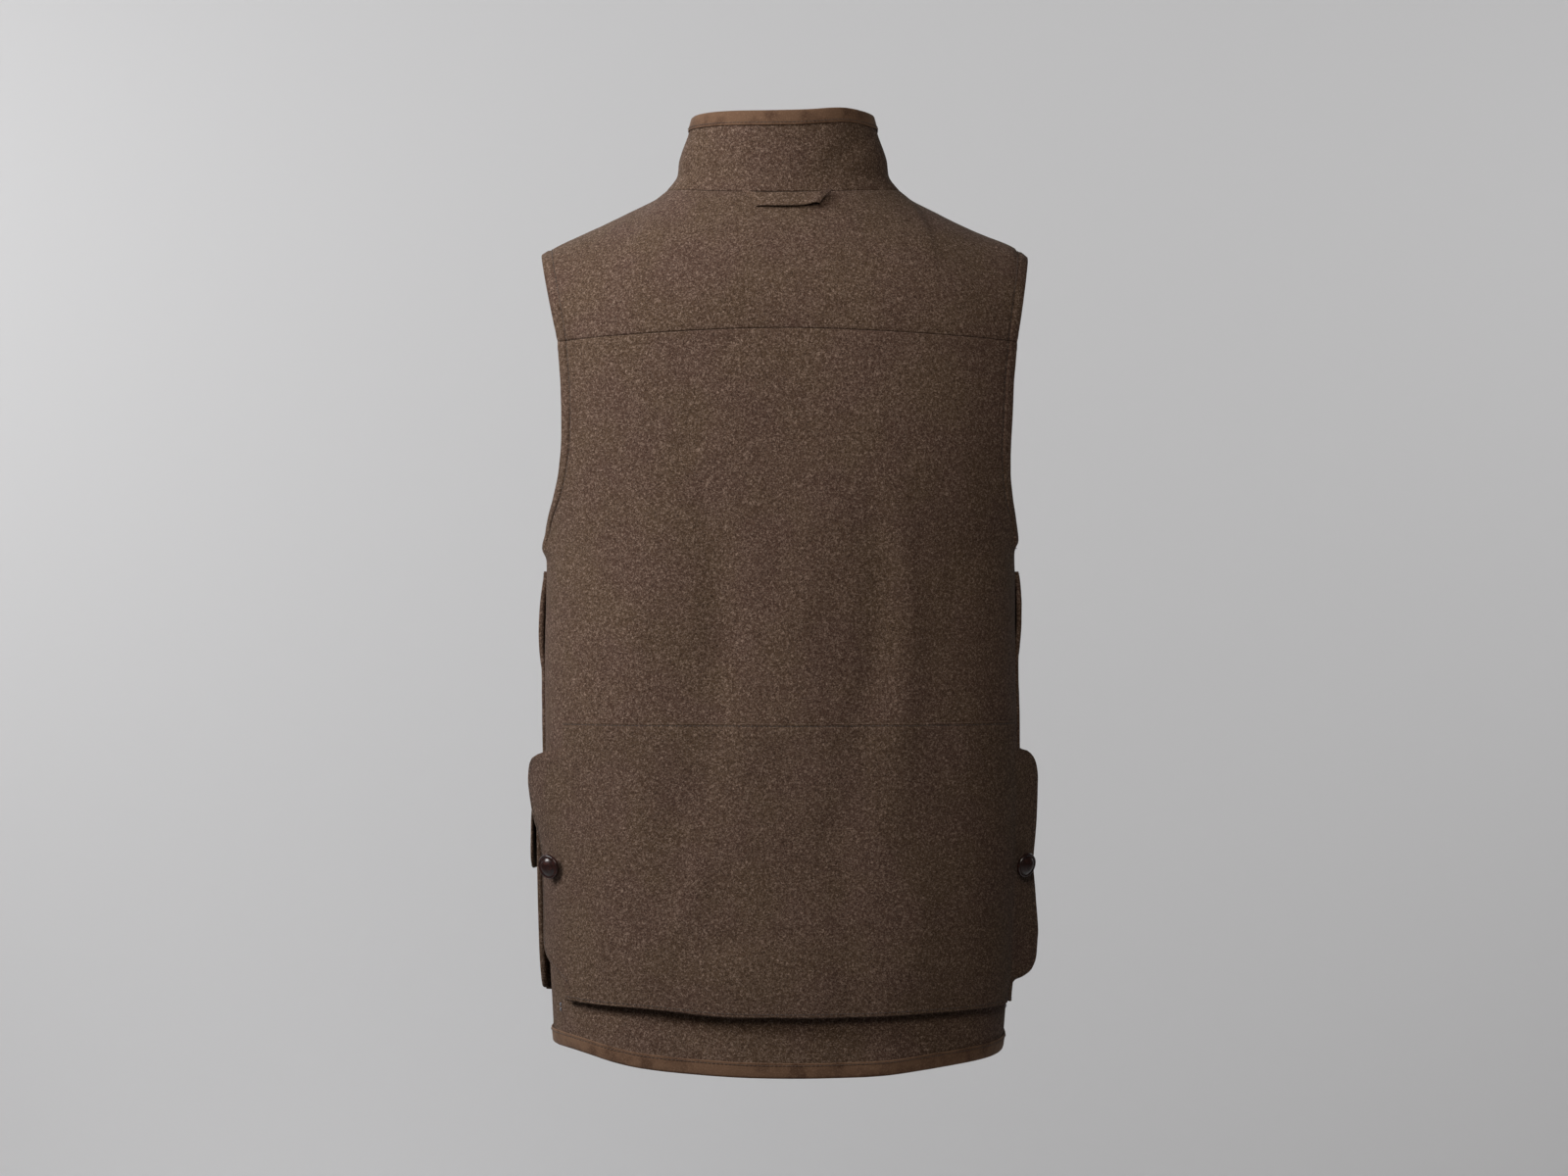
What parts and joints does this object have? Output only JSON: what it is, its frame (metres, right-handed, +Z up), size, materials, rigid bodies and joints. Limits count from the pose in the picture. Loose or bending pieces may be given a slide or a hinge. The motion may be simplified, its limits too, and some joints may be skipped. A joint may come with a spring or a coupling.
{
  "type": "gilet",
  "caption": "Hollow worn wool field gilet with stand collar, suede-bound edges, back game pocket with buttoned wings and flapped front pockets.",
  "frame": {"origin": "base of the neck, midway between the two side-neck points, where the wearer's neck and shoulders carry the gilet", "axes": "+Z up the standing garment, +Y out of its back, -Y out of its front, +X to the wearer's left"},
  "size_m": [0.4307, 0.2696, 0.7985],
  "materials": {
    "wool": "milled melange wool with a short nap",
    "suede": "matt suede binding",
    "horn": "polished dark horn look"
  },
  "bodies": {
    "root": {"back_panel": "wool", "back_yoke": "wool", "front_left": "wool", "front_right": "wool", "collar": "wool", "collar_binding": "suede", "hem_binding": "suede", "game_pocket": "wool", "hand_pocket_left": "wool", "hand_pocket_right": "wool", "bellows_pocket_left": "wool", "bellows_pocket_right": "wool", "pocket_flap_left": "wool", "pocket_flap_right": "wool", "hanging_loop": "wool", "wing_button_left": "horn", "wing_button_right": "horn", "front_button_1": "horn", "front_button_2": "horn", "front_button_3": "horn", "front_button_4": "horn", "front_button_5": "horn", "collar_button": "horn"}
  },
  "joints": []
}
